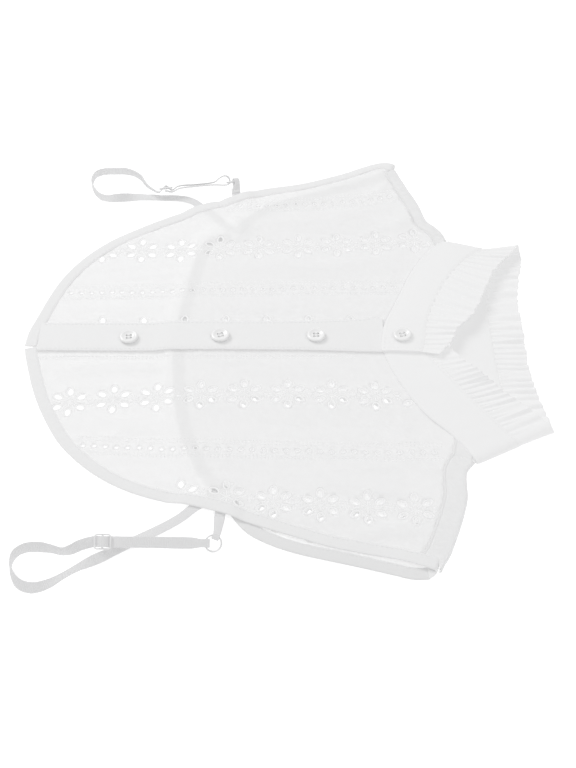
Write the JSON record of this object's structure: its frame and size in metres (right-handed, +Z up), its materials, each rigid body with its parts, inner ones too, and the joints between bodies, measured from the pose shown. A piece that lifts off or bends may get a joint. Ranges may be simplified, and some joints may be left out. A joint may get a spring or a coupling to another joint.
{
  "type": "detachable collar",
  "caption": "Sheer cutwork cotton dickey with a ruffled stand collar, button placket, bound edges and elastic side straps, laid flat on its back",
  "frame": {"origin": "centre of the bounding box at its base, on the surface the garment lies on", "axes": "+X from the hem to the neck, +Y from the wearer's left side to the right side, +Z up from the surface through the layers of the garment"},
  "size_m": [0.3174, 0.3584, 0.0109],
  "materials": {
    "back": "sheer white cotton voile with cutwork stripes",
    "front_right": "sheer white cotton voile with cutwork stripes",
    "front_left": "sheer white cotton voile with cutwork stripes",
    "placket": "plain white cotton",
    "binding_right": "plain white bias binding",
    "binding_left": "plain white bias binding",
    "binding_back_hem": "plain white bias binding",
    "binding_back_right": "plain white bias binding",
    "binding_back_left": "plain white bias binding",
    "collar_band": "plain white cotton",
    "collar_ruffle": "white cotton voile, gathered",
    "button_1": "white, polished",
    "button_2": "white, polished",
    "button_3": "white, polished",
    "button_4": "white, polished",
    "strap_right": "white ribbed elastic",
    "strap_left": "white ribbed elastic",
    "slider_right": "white moulded plastic",
    "slider_left": "white moulded plastic",
    "ring_right": "white enamelled wire",
    "ring_left": "white enamelled wire",
    "tab_right": "white ribbed elastic",
    "tab_left": "white ribbed elastic"
  },
  "bodies": {
    "root": {"back": "back", "front_right": "front_right", "front_left": "front_left", "placket": "placket", "binding_right": "binding_right", "binding_left": "binding_left", "binding_back_hem": "binding_back_hem", "binding_back_right": "binding_back_right", "binding_back_left": "binding_back_left", "collar_band": "collar_band", "collar_ruffle": "collar_ruffle", "button_1": "button_1", "button_2": "button_2", "button_3": "button_3", "button_4": "button_4", "strap_right": "strap_right", "strap_left": "strap_left", "slider_right": "slider_right", "slider_left": "slider_left", "ring_right": "ring_right", "ring_left": "ring_left", "tab_right": "tab_right", "tab_left": "tab_left"}
  },
  "joints": []
}
